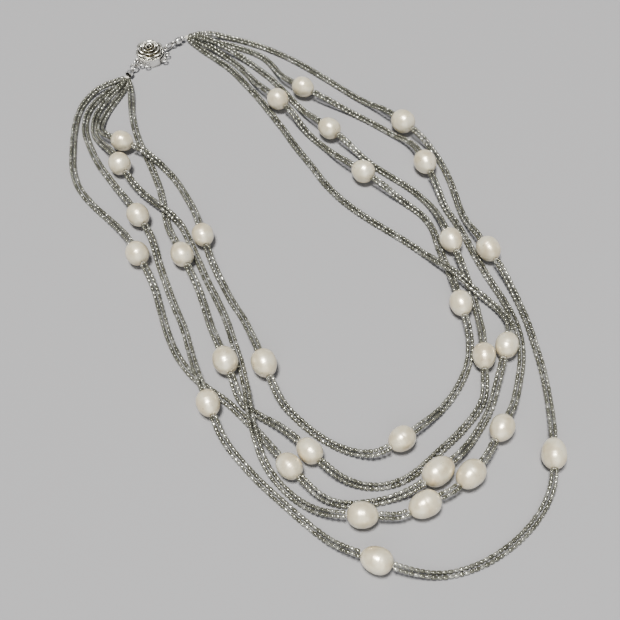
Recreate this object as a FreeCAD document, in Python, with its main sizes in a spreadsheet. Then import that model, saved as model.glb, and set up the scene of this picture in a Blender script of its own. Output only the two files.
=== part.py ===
import FreeCAD, Part
import math
import os

from FreeCAD import Placement, Rotation, Vector

# A five-strand pearl necklace lying closed on a flat surface, in millimetres.
# +Z is up and z = 0 is the surface, +Y runs from the front of the loop to the clasp, and +X is to the right.
# Each strand is a pair of seed-bead rows. The rows' two threads both pass through every pearl on the strand.

doc = FreeCAD.newDocument("pearl_necklace")
sheet = doc.addObject("Spreadsheet::Sheet", "Sizes")

SIZES = [
    ("bead_diameter", 1.25, "outer diameter of a row of seed beads"),
    ("row_spacing", 1.32, "between the two rows of a strand"),
    ("bead_gap", 0.35, "bare thread between a pearl and the nearest bead"),
    ("front_gap", 1.7, "between the left and right halves of a row at the front of the loop"),
    ("thread_diameter", 0.3, "one thread"),
    ("core_diameter", 0.6, "the two threads together inside a pearl"),
    ("bore_diameter", 1.0, "drilled hole through a pearl"),
    ("drum_radius", 4.9, "clasp box, outside"),
    ("drum_height", 2.9, "clasp box, without its lid"),
    ("drum_wall", 0.4, "clasp box, wall and floor"),
    ("lid_thickness", 0.45, "lid under the rose"),
    ("rose_height", 2.7, "rose above the lid"),
    ("slot_width", 5.4, "slot that the tongue enters"),
    ("slot_height", 1.35, "slot, over the floor"),
    ("notch_width", 2.6, "narrow notch over the slot, for the thumb tab"),
    ("leaf_thickness", 0.3, "sheet metal of the tongue"),
    ("leaf_width", 4.2, "tongue"),
    ("leaf_reach", 2.6, "tongue, past the middle of the box"),
    ("tab_width", 1.3, "thumb tab"),
    ("flange_gap", 0.25, "between the box and the flange of the tongue"),
    ("flange_thickness", 0.4, "flange that carries the right-hand loops"),
    ("loop_radius", 0.8, "small wire loops, to the middle of the wire"),
    ("loop_wire", 0.5, "wire diameter of the small loops"),
    ("loop_level", 1.75, "height of the loops and rings over the surface"),
    ("ring_radius", 1.25, "round jump rings, to the middle of the wire"),
    ("ring_wire", 0.6, "wire diameter of the round jump rings"),
    ("oval_radius", 0.95, "ends of the oval ring, to the middle of the wire"),
    ("oval_straight", 1.6, "straight sides of the oval ring"),
    ("oval_wire", 0.72, "wire diameter of the oval ring"),
    ("eye_radius", 0.8, "hook of a bead tip, to the middle of the wire"),
    ("eye_wire", 0.45, "wire diameter of a bead tip's hook"),
    ("cup_radius", 1.25, "bead tip, outside"),
    ("cup_length", 2.2, "bead tip"),
    ("cup_wall", 0.2, "bead tip"),
    ("crimp_radius", 0.6, "crimp inside a bead tip"),
    ("ball_radius", 0.95, "silver ball at the right-hand end"),
]

CLASP_CENTRE = Vector(-7.4, 106.3, 0)
BOX_LOOP_ANGLES = (184, 209, 234)
TONGUE_LOOP_ANGLES = (2, -27, -56)
LEFT_CHAIN_ANGLE = 227
RIGHT_CHAIN_ANGLE = 14
LEFT_TIP_ANGLE = 214
RIGHT_TIP_ANGLE = 12

# Each strand runs from the left bead tip round the front to the right bead tip.
# "route" is its centre line. A pearl sits on the middle of the straight run that starts at its point number:
# {point number: (pearl number, diameter, length)}. "front" is the run where the left and right halves part.
STRANDS = {
    "a": {
        "route": [
            (-21.9, 96.3, 0.65), (-26.4, 93, 0.65), (-32.1, 88.8, 0.65), (-36.1, 84.6, 1.2),
            (-38.3, 80.8, 2.6), (-38.1, 76.5, 3.6), (-30.1, 65.1, 3.6), (-27.7, 60.4, 2),
            (-25.9, 54.6, 0.65), (-24.9, 47.1, 0.65), (-25.2, 39.6, 0.65), (-25.7, 33.4, 2),
            (-26.8, 28, 3.5), (-29.8, 14.4, 3.5), (-30.5, 8.9, 2), (-30.8, 2.9, 0.65),
            (-31.4, -4.4, 0.65), (-31.1, -11.4, 0.65), (-32, -17.4, 2), (-32.8, -22.9, 3.8),
            (-35, -36.7, 3.8), (-35.3, -42.2, 2), (-34.1, -47.9, 0.65), (-31.9, -55.4, 0.65),
            (-28.4, -62.4, 0.65), (-24.2, -67.8, 2), (-19.2, -71.1, 3.6), (-5.4, -69.3, 3.6),
            (-1.1, -68.4, 2.2), (3.4, -67.2, 0.9), (8.8, -65.1, 0.65), (14.1, -62.2, 0.65),
            (19.4, -58.2, 0.65), (23.4, -52.8, 2), (25.6, -47.7, 3.5), (30.2, -34.5, 3.5),
            (32.1, -29.6, 1.5), (33.9, -24, 0.65), (35.3, -18.4, 0.65), (37.7, -12.4, 0.65),
            (38.3, -5.9, 0.65), (36.3, 0.8, 0.65), (33.9, 6.5, 2), (32, 11.7, 3.8),
            (27.2, 24.9, 3.8), (26.1, 30.3, 2), (25.3, 36.1, 0.65), (23.7, 43.1, 0.65),
            (22.9, 49, 2), (22.7, 54.6, 3.8), (19.7, 68.2, 3.8), (19.1, 73.7, 2),
            (19.3, 79.6, 0.65), (18.3, 86.6, 0.65), (16.2, 93.4, 0.8), (13.7, 99.2, 1.8),
            (10.3, 105, 2),
        ],
        "pearls": {5: (1, 7.2, 7.8), 12: (4, 7, 8), 19: (8, 7.6, 9), 26: (14, 7.2, 8.2),
                   34: (22, 7, 8.6), 43: (27, 7.6, 8.2), 49: (29, 7.6, 8)},
        "front": 29,
    },
    "b": {
        "route": [
            (-20.3, 95.6, 2), (-22.3, 90.1, 1.6), (-25.1, 84, 0.65), (-27.1, 77.1, 0.65),
            (-28.5, 70.1, 0.65), (-29.1, 62.6, 0.65), (-30.1, 54.6, 0.65), (-31.5, 46.1, 0.65),
            (-34.5, 36.6, 0.65), (-36.4, 30.2, 1.8), (-36.8, 24.7, 3.7), (-38, 10.7, 3.7),
            (-38.2, 5.2, 2), (-39.7, -2.8, 0.65), (-41.6, -10.8, 2), (-42.3, -16.3, 3.8),
            (-44.3, -30.1, 3.8), (-45.5, -35.4, 1.7), (-43.9, -40.7, 0.65), (-40.3, -47.6, 2),
            (-38, -53.5, 3.4), (-34.6, -67.1, 3.4), (-32.1, -72.1, 2), (-27.3, -76.8, 0.65),
            (-21.2, -79.6, 0.65), (-14.7, -80, 0.65), (-8.1, -78.6, 0.65), (-2.1, -77.1, 0.65),
            (3.3, -75.9, 0.65), (8.9, -74, 0.65), (12.9, -72.4, 0.65), (16.3, -70.1, 2),
            (19.3, -65.7, 3.5), (26.9, -53.9, 3.5), (29.5, -49.1, 2), (32.1, -44, 0.65),
            (34.4, -38.4, 0.65), (36.1, -32.1, 2), (37.2, -26.7, 3.6), (40.4, -13.1, 3.6),
            (41.9, -7.8, 2), (42.4, -1.9, 0.65), (40.9, 6.1, 0.65), (37.8, 14.1, 0.65),
            (34.9, 22.2, 0.65), (33, 28.6, 2), (31.7, 34, 3.7), (27.9, 47.4, 3.7),
            (27, 52.8, 2), (26.9, 58.8, 0.65), (26.4, 66.6, 0.65), (25.5, 74.2, 0.65),
            (23.7, 81.6, 0.65), (21.3, 88.6, 1.2), (18.1, 95.4, 2.6), (14.7, 100.6, 3.4),
            (10.9, 105.5, 3.4),
        ],
        "pearls": {10: (6, 7.4, 8.4), 15: (7, 7.6, 9), 20: (10, 6.8, 8.2), 32: (20, 7, 8.4),
                   38: (24, 7.2, 8.4), 46: (28, 7.4, 8.2)},
        "front": 28,
    },
    "c": {
        "route": [
            (-23.5, 99.9, 2), (-29.3, 100.5, 1.6), (-35.7, 98.6, 0.65), (-41.5, 93.2, 0.65),
            (-46.3, 85.4, 0.65), (-49.9, 77.6, 0.65), (-53.2, 70.1, 0.65), (-54.7, 61.6, 0.65),
            (-53.5, 52.6, 0.65), (-51.1, 44, 0.65), (-49.9, 37.6, 2), (-49.4, 32.1, 3.7),
            (-49.4, 18.1, 3.7), (-49.8, 12.6, 2), (-50.9, 6.8, 0.65), (-52.9, -1.4, 0.65),
            (-54.2, -9.4, 0.65), (-54.3, -17.4, 0.65), (-52.3, -25.9, 0.65), (-48.5, -34, 0.65),
            (-46.6, -41.9, 0.65), (-45.2, -48.8, 1.3), (-44.9, -54.7, 3.4), (-41.9, -68.3, 3.4),
            (-40.1, -73.5, 2), (-35.9, -77.8, 0.65), (-30.3, -80.4, 0.65), (-25.7, -82.2, 0.65),
            (-21.2, -83.5, 2), (-15.9, -84.4, 3.8), (-2.1, -82.4, 3.8), (3, -80.6, 2),
            (9.2, -77.7, 0.65), (15.5, -74.2, 0.65), (21.6, -68.8, 2), (25.9, -64.8, 3.5),
            (36.3, -55.4, 3.5), (37.7, -50.2, 2), (36.9, -44.8, 1.4), (35.5, -40.6, 2.2),
            (34.4, -36.6, 2.6), (33, -30.6, 3.7), (31.2, -24.4, 2.4), (29.5, -17.4, 0.65),
            (26.9, -9.8, 0.65), (23.7, -2.2, 0.65), (20.6, 5.8, 0.65), (18.3, 14.2, 0.65),
            (17.2, 23, 0.65), (17.4, 32, 0.65), (16.9, 41, 0.65), (17.3, 50.2, 0.65),
            (17.1, 59.4, 0.65), (17, 68.6, 0.65), (16.1, 77, 0.65), (15.5, 84.2, 0.65),
            (13.6, 91.2, 0.65), (11.4, 97.8, 0.65), (9.4, 104.5, 0.65),
        ],
        "pearls": {11: (5, 7.4, 8.2), 22: (11, 6.8, 8.2), 29: (15, 7.6, 10), 35: (21, 7, 8.4)},
        "front": 31,
    },
    "d": {
        "route": [
            (-22.8, 97.2, 2), (-28.3, 94.5, 1.8), (-34.3, 91.3, 0.65), (-38.6, 86.2, 0.65),
            (-40.8, 80.1, 0.65), (-40.2, 74.4, 2), (-39.2, 69, 3.7), (-38.8, 55, 3.7),
            (-37.8, 49.6, 2.1), (-36, 43.2, 2.1), (-33.4, 36.8, 2.4), (-31.6, 30.2, 0.65),
            (-32.5, 22.6, 0.65), (-33.4, 14.6, 0.65), (-34.5, 6.6, 0.65), (-35, -1.4, 0.65),
            (-35.9, -9.4, 0.65), (-37.7, -17.4, 0.65), (-39.1, -24.4, 0.65), (-40.8, -29.7, 0.7),
            (-42.3, -34.6, 2.2), (-44.3, -39.6, 3.2), (-46.1, -45, 3.3), (-47.6, -50.4, 3),
            (-48.6, -56.6, 1.2), (-48, -64, 0.65), (-45.7, -71.2, 0.65), (-42.6, -76.7, 2),
            (-38.5, -80.6, 3.7), (-28.3, -86.8, 3.7), (-25.9, -88.3, 3), (-23.5, -89.2, 3.7),
            (-11.5, -89.8, 3.7), (-7.6, -90, 3.7), (4, -87, 3.7), (8.6, -84.3, 3.6),
            (19, -78.5, 3.6), (23.3, -75.4, 2.1), (28.1, -70.9, 0.65), (33.6, -65.2, 0.65),
            (37.8, -58.7, 0.65), (40.1, -51.8, 0.65), (41.3, -44.4, 0.65), (42, -36.9, 0.65),
            (43, -29.4, 0.65), (44.5, -21.9, 0.65), (45.7, -14.4, 0.65), (46, -7, 0.65),
            (47.3, -1, 2), (48.4, 4.4, 3.8), (51, 18.2, 3.8), (50.9, 23.7, 2),
            (48.7, 29.6, 0.65), (45.8, 37, 0.65), (42.4, 44.1, 0.65), (38.6, 50.4, 2),
            (35, 56, 3.6), (28.8, 68.6, 3.6), (28.4, 74.1, 2), (29.2, 79.9, 0.65),
            (28.1, 86.4, 0.65), (24.4, 92.4, 0.65), (20, 98.2, 0.65), (15.7, 103, 0.65),
            (11.6, 106, 0.65),
        ],
        "pearls": {6: (2, 7.4, 8), 28: (12, 7.4, 8.6), 31: (17, 7.4, 9.4), 33: (16, 7.4, 9.4),
                   35: (18, 7.2, 8.4), 49: (25, 7.6, 8.6), 56: (30, 7.2, 8.2)},
        "front": 34,
    },
    "e": {
        "route": [
            (-23.6, 98.7, 0.65), (-29.4, 97.3, 0.65), (-35.3, 94.6, 0.65), (-39.9, 90.1, 0.65),
            (-42.9, 83.9, 0.65), (-44.1, 76.6, 0.65), (-44.7, 68, 0.65), (-44, 59.2, 0.65),
            (-43.6, 51.6, 2), (-43.2, 45.9, 3.6), (-42.4, 31.9, 3.6), (-43.1, 26.4, 2),
            (-44.5, 20.6, 0.65), (-45.9, 12.6, 0.65), (-47.3, 4, 0.65), (-48.2, -5.4, 0.65),
            (-50.5, -14.4, 0.65), (-51.9, -20.9, 2), (-52.8, -26.3, 3.5), (-55, -40.1, 3.5),
            (-55.1, -45.6, 2), (-54.1, -51.4, 0.65), (-52.6, -59.4, 0.65), (-50.2, -67.4, 0.65),
            (-48, -74.4, 0.65), (-45.9, -80.6, 0.65), (-43.9, -86, 2), (-41.2, -90.5, 3.7),
            (-32.2, -101.3, 3.7), (-27.9, -104.7, 2), (-22.9, -107.6, 0.65), (-15.3, -109.8, 0.65),
            (-6.5, -110.2, 0.65), (2.5, -108.8, 0.65), (9.7, -106.2, 0.65), (14, -103.6, 2),
            (17.6, -100.5, 3.6), (25.8, -89.1, 3.6), (29, -84.6, 2), (32.3, -79.4, 0.65),
            (36.1, -72.4, 0.65), (39.2, -64.8, 0.65), (42.4, -56.6, 0.65), (44.9, -47.9, 0.65),
            (46, -41.2, 2), (46.5, -35.7, 3.7), (47.5, -21.7, 3.7), (48.1, -16.2, 2),
            (49.6, -10.4, 0.65), (52.4, -2.8, 0.65), (54.9, 5, 0.65), (56.3, 12.2, 0.65),
            (56, 18.3, 2), (55, 23.7, 4), (51.6, 37.3, 4), (50.2, 42.6, 2),
            (48.1, 48.3, 0.65), (45.3, 56, 0.65), (42.7, 64, 0.65), (39.8, 72, 0.65),
            (36.5, 80, 0.65), (32.3, 88, 0.65), (27, 95.6, 0.65), (21.9, 101.4, 0.7),
            (17.2, 105.5, 1.7), (12.2, 107.5, 2),
        ],
        "pearls": {9: (3, 7.2, 8.4), 18: (9, 7, 8.4), 27: (13, 7.4, 8.8), 36: (19, 7.2, 9.2),
                   45: (23, 7.4, 8.6), 53: (26, 8, 8.6)},
        "front": 33,
    },
}


def fill_sheet():
    for row, (alias, value, note) in enumerate(SIZES, start=1):
        sheet.set(f"A{row}", alias)
        sheet.set(f"B{row}", str(value))
        sheet.setAlias(f"B{row}", alias)
        sheet.set(f"C{row}", note)
    doc.recompute()


def size(alias):
    return getattr(sheet, alias)


def polar(angle, radius=1.0, z=0.0):
    turn = math.radians(angle)
    return Vector(radius * math.cos(turn), radius * math.sin(turn), z)


def along(direction):
    return Rotation(Vector(0, 0, 1), direction)


def primitive(kind, name, placement=None, **expressions):
    made = doc.addObject(f"Part::{kind}", name)
    for prop, expression in expressions.items():
        made.setExpression(prop, expression)
    if placement:
        made.Placement = placement
    return made


def cut(name, base, tool):
    made = doc.addObject("Part::Cut", name)
    made.Base = base
    made.Tool = tool
    return made


def fuse(name, pieces):
    made = doc.addObject("Part::MultiFuse", name)
    made.Shapes = pieces
    return made


def feature(name, shape):
    made = doc.addObject("Part::Feature", name)
    made.Shape = shape
    return made


# Rows of seed beads


def row_offset(points, index, shift):
    # A point of the centre line moved sideways, so that each run stays parallel to the centre line's in plan.
    here = points[index]
    normals = []
    for start, end in ((index - 1, index), (index, index + 1)):
        if start >= 0 and end < len(points):
            run = points[end] - points[start]
            normals.append(Vector(-run.y, run.x, 0).normalize())
    mean = sum(normals[1:], normals[0]).normalize()
    return here + mean * (shift / mean.dot(normals[0]))


def tangent_path(points):
    # Straight runs joined by arcs, each as large as its two runs allow.
    edges = []
    radii = []
    start = points[0]
    for before, corner, after in zip(points, points[1:], points[2:]):
        inward = (corner - before).normalize()
        outward = (after - corner).normalize()
        turn = inward.getAngle(outward)
        reach = 0.45 * min((corner - before).Length, (after - corner).Length)
        radius = reach / math.tan(turn / 2)
        arc_start = corner - inward * reach
        arc_end = corner + outward * reach
        bisector = (outward - inward).normalize()
        centre = corner + bisector * (radius / math.cos(turn / 2))
        middle = centre - bisector * radius
        edges.append(Part.LineSegment(start, arc_start).toShape())
        edges.append(Part.Arc(arc_start, middle, arc_end).toShape())
        radii.append(radius)
        start = arc_end
    edges.append(Part.LineSegment(start, points[-1]).toShape())
    return Part.Wire(edges), radii


def tube(points, diameter):
    path, radii = tangent_path(points)
    section = Part.Wire(Part.makeCircle(diameter / 2, points[0], points[1] - points[0]))
    solid = path.makePipeShell([section], True, False)
    expected = math.pi * diameter**2 / 4 * path.Length
    if abs(solid.Volume / expected - 1) > 0.01:
        raise ValueError(f"a tube's volume is {solid.Volume:.2f}, not {expected:.2f}")
    return solid, radii, path.Length


def row_stretches(points, strand):
    # The row's stretches of beads in each half, between the bare gaps at its pearls and at the front.
    gaps = {i: pearl[2] / 2 + size("bead_gap") for i, pearl in strand["pearls"].items()}
    gaps[strand["front"]] = size("front_gap") / 2
    stretches = {"left": [[points[0]]], "right": []}
    half = "left"
    for index, point in enumerate(points[1:], start=1):
        if index - 1 in gaps:
            before = points[index - 1]
            run = (point - before).normalize()
            middle = (before + point) * 0.5
            stretches[half][-1].append(middle - run * gaps[index - 1])
            if index - 1 == strand["front"]:
                half = "right"
            stretches[half].append([middle + run * gaps[index - 1]])
        stretches[half][-1].append(point)
    return stretches


def make_strand(name, strand):
    centre_line = [Vector(*point) for point in strand["route"]]
    halves = {"left": [], "right": []}
    starts = {}
    smallest = []
    lengths = []
    for side in (-1, 1):
        shift = side * size("row_spacing") / 2
        row = [row_offset(centre_line, i, shift) for i in range(len(centre_line))]
        starts[side] = {"left": (row[0], row[1]), "right": (row[-1], row[-2])}
        for half, stretches in row_stretches(row, strand).items():
            for stretch in stretches:
                solid, radii, length = tube(stretch, size("bead_diameter"))
                halves[half].append(solid)
                smallest += radii
                lengths.append(length)
    print(f"strand {name}: tightest arc {min(smallest):.1f} mm, beads on its two rows {sum(lengths):.0f} mm")
    for half, solids in halves.items():
        feature(f"strand_{name}_{half}", Part.Compound(solids))
    return {half: [ends[half] for ends in starts.values()] for half in halves}


# Pearls and threads


def make_pearl(number, diameter, length, centre, direction):
    body = doc.addObject("Part::Ellipsoid", f"pearl_{number:02d}_body")
    body.Radius1 = length / 2
    body.Radius2 = diameter / 2
    body.Radius3 = diameter / 2
    bore = primitive("Cylinder", f"pearl_{number:02d}_bore", Radius=f"{sheet.Name}.bore_diameter / 2")
    bore.Height = length + 2
    bore.Placement = Placement(Vector(0, 0, -length / 2 - 1), Rotation())
    pearl = cut(f"pearl_{number:02d}", body, bore)
    pearl.Placement = Placement(centre, along(direction))


def rod(start, end, diameter):
    return Part.makeCylinder(diameter / 2, (end - start).Length, start, end - start)


def make_threads(half, cores, knot, mouth, starts):
    # The cores run through the pearls; the loose threads fan out from the bead tip to the first beads.
    solids = [rod(start, end, size("core_diameter")) for start, end in cores]
    fan = rod(knot, mouth, size("core_diameter"))
    for first, second in starts:
        inside = first + (second - first).normalize() * size("bead_gap")
        fan = fan.fuse(rod(mouth, inside, size("thread_diameter")))
    solids += fan.Solids
    feature(f"threads_{half}", Part.Compound(solids))


# Clasp


def make_clasp_box():
    radius = "Sizes.drum_radius"
    drum = primitive("Cylinder", "drum_outer", Radius=radius, Height="Sizes.drum_height")
    hollow = primitive(
        "Cylinder",
        "drum_hollow",
        Placement(Vector(0, 0, size("drum_wall")), Rotation()),
        Radius=f"{radius} - Sizes.drum_wall",
        Height="Sizes.drum_height",
    )
    slot = primitive(
        "Box",
        "drum_slot",
        Placement(Vector(2, -size("slot_width") / 2, size("drum_wall")), Rotation()),
        Length=radius,
        Width="Sizes.slot_width",
        Height="Sizes.slot_height",
    )
    notch = primitive(
        "Box",
        "drum_notch",
        Placement(Vector(2, -size("notch_width") / 2, size("drum_wall")), Rotation()),
        Length=radius,
        Width="Sizes.notch_width",
        Height="Sizes.drum_height - 2 * Sizes.drum_wall",
    )
    box = cut("clasp_box", drum, fuse("drum_openings", [hollow, slot, notch]))
    box.Placement = Placement(CLASP_CENTRE, Rotation())


def make_lid_and_rose():
    top = size("drum_height")
    primitive(
        "Cylinder",
        "clasp_lid",
        Placement(CLASP_CENTRE + Vector(0, 0, top), Rotation()),
        Radius="Sizes.drum_radius + 0.1",
        Height="Sizes.lid_thickness",
    )
    dome = primitive(
        "Ellipsoid",
        "rose_dome",
        Radius1="Sizes.rose_height",
        Radius2="Sizes.drum_radius - 0.1",
        Radius3="Sizes.drum_radius - 0.1",
    )
    dome.Angle1 = 0
    base = top + size("lid_thickness")
    dome.Placement = Placement(CLASP_CENTRE + Vector(0, 0, base), Rotation())


def make_loops(name, angles, wall_radius):
    # Wire loops that stand out flat from a round wall and end on it.
    wall = primitive("Cylinder", f"{name}_wall")
    wall.Radius = wall_radius
    wall.Height = 2 * size("loop_level")
    rings = []
    for number, angle in enumerate(angles, start=1):
        reach = wall_radius + size("loop_radius") * 0.75
        ring = primitive(
            "Torus",
            f"{name}_ring_{number}",
            Placement(polar(angle, reach, size("loop_level")), Rotation()),
            Radius1="Sizes.loop_radius",
            Radius2="Sizes.loop_wire / 2",
        )
        rings.append(ring)
    loops = cut(name, fuse(f"{name}_rings", rings), wall)
    loops.Placement = Placement(CLASP_CENTRE, Rotation())
    return CLASP_CENTRE + polar(angles[0], wall_radius + size("loop_radius") * 0.75, size("loop_level"))


def make_tongue():
    # A plate that lies in the slot, with a curved flange outside the box.
    inner = size("drum_radius") + size("flange_gap")
    leaf = size("leaf_thickness")
    level = size("drum_wall") + 0.15
    plate = Part.makeBox(
        size("leaf_reach") + inner + leaf,
        size("leaf_width"),
        leaf,
        Vector(-size("leaf_reach"), -size("leaf_width") / 2, level),
    )
    fold = Part.makeBox(
        leaf,
        size("leaf_width"),
        2 * leaf,
        Vector(-size("leaf_reach") - leaf, -size("leaf_width") / 2, level),
    )
    height = 1.9
    span = 76
    outside = Part.makeCylinder(inner + size("flange_thickness"), height, Vector(0, 0, level), Vector(0, 0, 1), span)
    inside = Part.makeCylinder(inner, height, Vector(0, 0, level), Vector(0, 0, 1), span)
    flange = outside.cut(inside)
    flange.rotate(Vector(0, 0, 0), Vector(0, 0, 1), -64)
    window = Part.makeBox(2, size("tab_width") + 0.6, 0.75)
    window.translate(Vector(inner - 0.6, -size("tab_width") / 2 - 0.3, level + leaf))
    tongue = feature("tongue", plate.fuse([fold, flange]).removeSplitter().cut(window))
    tongue.Placement = Placement(CLASP_CENTRE, Rotation())
    return inner + size("flange_thickness")


def make_tongue_spring():
    # The upper leaf and its thumb tab, drawn pressed down, so that the tongue can leave the box.
    leaf = size("leaf_thickness")
    level = size("drum_wall") + 0.15 + leaf + 0.02
    reach = size("leaf_reach")
    shoulders = 3.6
    blade = Part.makeBox(
        reach + shoulders,
        size("leaf_width") - 0.4,
        leaf,
        Vector(-reach + 0.02, -size("leaf_width") / 2 + 0.2, level),
    )
    tab = Part.makeBox(
        size("drum_radius") - shoulders + 0.9,
        size("tab_width"),
        leaf,
        Vector(shoulders, -size("tab_width") / 2, level),
    )
    grip_at = Vector(size("drum_radius") + 0.7, -size("tab_width") / 2, level - 0.4)
    grip = Part.makeBox(0.2, size("tab_width"), 0.5, grip_at)
    spring = feature("tongue_spring", blade.fuse([tab, grip]).removeSplitter())
    spring.Placement = Placement(CLASP_CENTRE, Rotation())


# Rings, bead tips and the silver ball


def make_ring(name, centre, direction, standing):
    turn = Rotation(Vector(0, 0, 1), Vector(-direction.y, direction.x, 0)) if standing else Rotation()
    primitive(
        "Torus",
        name,
        Placement(centre, turn),
        Radius1="Sizes.ring_radius",
        Radius2="Sizes.ring_wire / 2",
    )


def make_oval_ring(centre, direction):
    half = size("oval_straight") / 2
    radius = size("oval_radius")
    corners = [Vector(-half, 0, radius), Vector(half, 0, radius), Vector(half, 0, -radius), Vector(-half, 0, -radius)]
    path = Part.Wire(
        [
            Part.LineSegment(corners[0], corners[1]).toShape(),
            Part.Arc(corners[1], Vector(half + radius, 0, 0), corners[2]).toShape(),
            Part.LineSegment(corners[2], corners[3]).toShape(),
            Part.Arc(corners[3], Vector(-half - radius, 0, 0), corners[0]).toShape(),
        ]
    )
    section = Part.Wire(Part.makeCircle(size("oval_wire") / 2, corners[0], Vector(1, 0, 0)))
    ring = feature("oval_ring", path.makePipeShell([section], True, False))
    ring.Placement = Placement(centre, Rotation(Vector(1, 0, 0), direction))


def make_bead_tip(half, eye, direction, eye_standing):
    # A small cup with a wire hook; the cup's mouth faces the strands and its closed end has the crimp.
    radius = size("cup_radius")
    wall = size("cup_wall")
    length = size("cup_length")
    back = eye + direction * (size("eye_radius") + 0.1)
    outer = Part.makeSphere(radius, back + direction * radius)
    outer = outer.common(Part.makeCylinder(radius, radius, back, direction))
    outer = outer.fuse(Part.makeCylinder(radius, length - radius, back + direction * radius, direction))
    inner = Part.makeSphere(radius - wall, back + direction * radius)
    inner = inner.fuse(Part.makeCylinder(radius - wall, length, back + direction * radius, direction))
    across = Vector(-direction.y, direction.x, 0)
    hook = Part.makeTorus(size("eye_radius"), size("eye_wire") / 2, eye, across if eye_standing else Vector(0, 0, 1))
    cup = outer.fuse(hook).cut(inner).removeSplitter()
    feature(f"bead_tip_{half}", cup)
    knot = back + direction * (wall + size("crimp_radius") + 0.05)
    primitive("Sphere", f"crimp_{half}", Placement(knot, Rotation()), Radius="Sizes.crimp_radius")
    return knot + direction * size("crimp_radius"), back + direction * (length + 0.1)


def make_silver_ball(centre, direction):
    ball = primitive("Sphere", "ball_body", Radius="Sizes.ball_radius")
    bore = primitive("Cylinder", "ball_bore", Radius="Sizes.bore_diameter / 2", Height="Sizes.ball_radius * 4")
    bore.Placement = Placement(Vector(0, 0, -2 * size("ball_radius")), Rotation())
    whole = cut("silver_ball", ball, bore)
    whole.Placement = Placement(centre, along(direction))


def make_left_end(loop):
    chain = polar(LEFT_CHAIN_ANGLE)
    wire = size("ring_wire")
    first = loop + chain * (size("ring_radius") + 0.15)
    second = first + chain * (2 * size("ring_radius") - wire - 0.08)
    eye = second + chain * (size("ring_radius") + size("eye_radius") - (wire + size("eye_wire")) / 2 - 0.08)
    make_ring("jump_ring_standing", first, chain, True)
    make_ring("jump_ring_flat", second, chain, False)
    return make_bead_tip("left", eye, polar(LEFT_TIP_ANGLE), True)


def make_right_end(loop):
    chain = polar(RIGHT_CHAIN_ANGLE)
    half = size("oval_straight") / 2 + size("oval_radius")
    centre = loop + chain * (half + 0.15)
    eye = centre + chain * (half + size("eye_radius") - (size("oval_wire") + size("eye_wire")) / 2 - 0.08)
    make_oval_ring(centre, chain)
    tip = polar(RIGHT_TIP_ANGLE)
    knot, mouth = make_bead_tip("right", eye, tip, False)
    ball = mouth + tip * (size("ball_radius") + 0.1)
    make_silver_ball(ball, tip)
    return knot, ball + tip * (size("ball_radius") + 0.1)


def make_strands_and_pearls(left_end, right_end):
    starts = {"left": [], "right": []}
    cores = {"left": [], "right": []}
    for name, strand in STRANDS.items():
        ends = make_strand(name, strand)
        route = [Vector(*point) for point in strand["route"]]
        for index, (number, diameter, length) in strand["pearls"].items():
            centre = (route[index] + route[index + 1]) * 0.5
            direction = (route[index + 1] - route[index]).normalize()
            make_pearl(number, diameter, length, centre, direction)
            reach = direction * (length / 2 + size("bead_gap"))
            half = "left" if index < strand["front"] else "right"
            cores[half].append((centre - reach, centre + reach))
        for half in starts:
            starts[half] += ends[half]
    make_threads("left", cores["left"], *left_end, starts["left"])
    make_threads("right", cores["right"], *right_end, starts["right"])


def node_names():
    names = [f"pearl_{number:02d}" for number in range(1, 31)]
    names += [f"strand_{name}_{half}" for name in STRANDS for half in ("left", "right")]
    names += ["threads_left", "threads_right", "clasp_box", "clasp_lid", "rose_dome", "box_loops"]
    names += ["tongue", "tongue_spring", "tongue_loops", "jump_ring_standing", "jump_ring_flat", "oval_ring"]
    names += ["bead_tip_left", "bead_tip_right", "crimp_left", "crimp_right", "silver_ball"]
    return names


def write_nodes():
    doc.recompute()
    for made in doc.Objects:
        if "Invalid" in made.State or "Error" in made.State:
            raise ValueError(f"{made.Label} failed: {made.State}")
    os.makedirs("parts", exist_ok=True)
    for name in node_names():
        made = doc.getObject(name)
        shape = made.Shape
        if shape.isNull() or not shape.isValid():
            raise ValueError(f"{name} has no valid shape")
        shape.exportStep(f"parts/{name}.step")
    print(len(node_names()), "nodes written")


fill_sheet()
make_clasp_box()
make_lid_and_rose()
left_loop = make_loops("box_loops", BOX_LOOP_ANGLES, size("drum_radius"))
flange_radius = make_tongue()
make_tongue_spring()
right_loop = make_loops("tongue_loops", TONGUE_LOOP_ANGLES, flange_radius)
make_strands_and_pearls(make_left_end(left_loop), make_right_end(right_loop))
write_nodes()
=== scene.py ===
import math

import bpy
import numpy as np
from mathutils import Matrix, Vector


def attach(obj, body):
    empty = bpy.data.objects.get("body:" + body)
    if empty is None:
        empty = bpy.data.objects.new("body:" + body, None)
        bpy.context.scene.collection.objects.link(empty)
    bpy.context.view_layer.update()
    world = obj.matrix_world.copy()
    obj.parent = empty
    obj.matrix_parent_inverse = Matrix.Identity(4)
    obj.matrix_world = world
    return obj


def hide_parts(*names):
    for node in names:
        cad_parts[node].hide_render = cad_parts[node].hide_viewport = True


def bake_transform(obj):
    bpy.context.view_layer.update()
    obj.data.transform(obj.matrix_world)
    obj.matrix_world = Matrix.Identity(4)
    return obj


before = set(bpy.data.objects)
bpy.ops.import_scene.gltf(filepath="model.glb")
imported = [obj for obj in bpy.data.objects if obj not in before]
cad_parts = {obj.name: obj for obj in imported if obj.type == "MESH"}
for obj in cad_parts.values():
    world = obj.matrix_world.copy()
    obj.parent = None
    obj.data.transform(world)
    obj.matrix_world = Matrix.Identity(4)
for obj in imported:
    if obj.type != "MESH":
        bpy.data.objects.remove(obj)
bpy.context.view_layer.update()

# A five-strand pearl necklace. Sizes are in millimetres here and go into Blender in metres, through MM.

MM = 0.001
RANDOM = np.random.default_rng(11)

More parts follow.
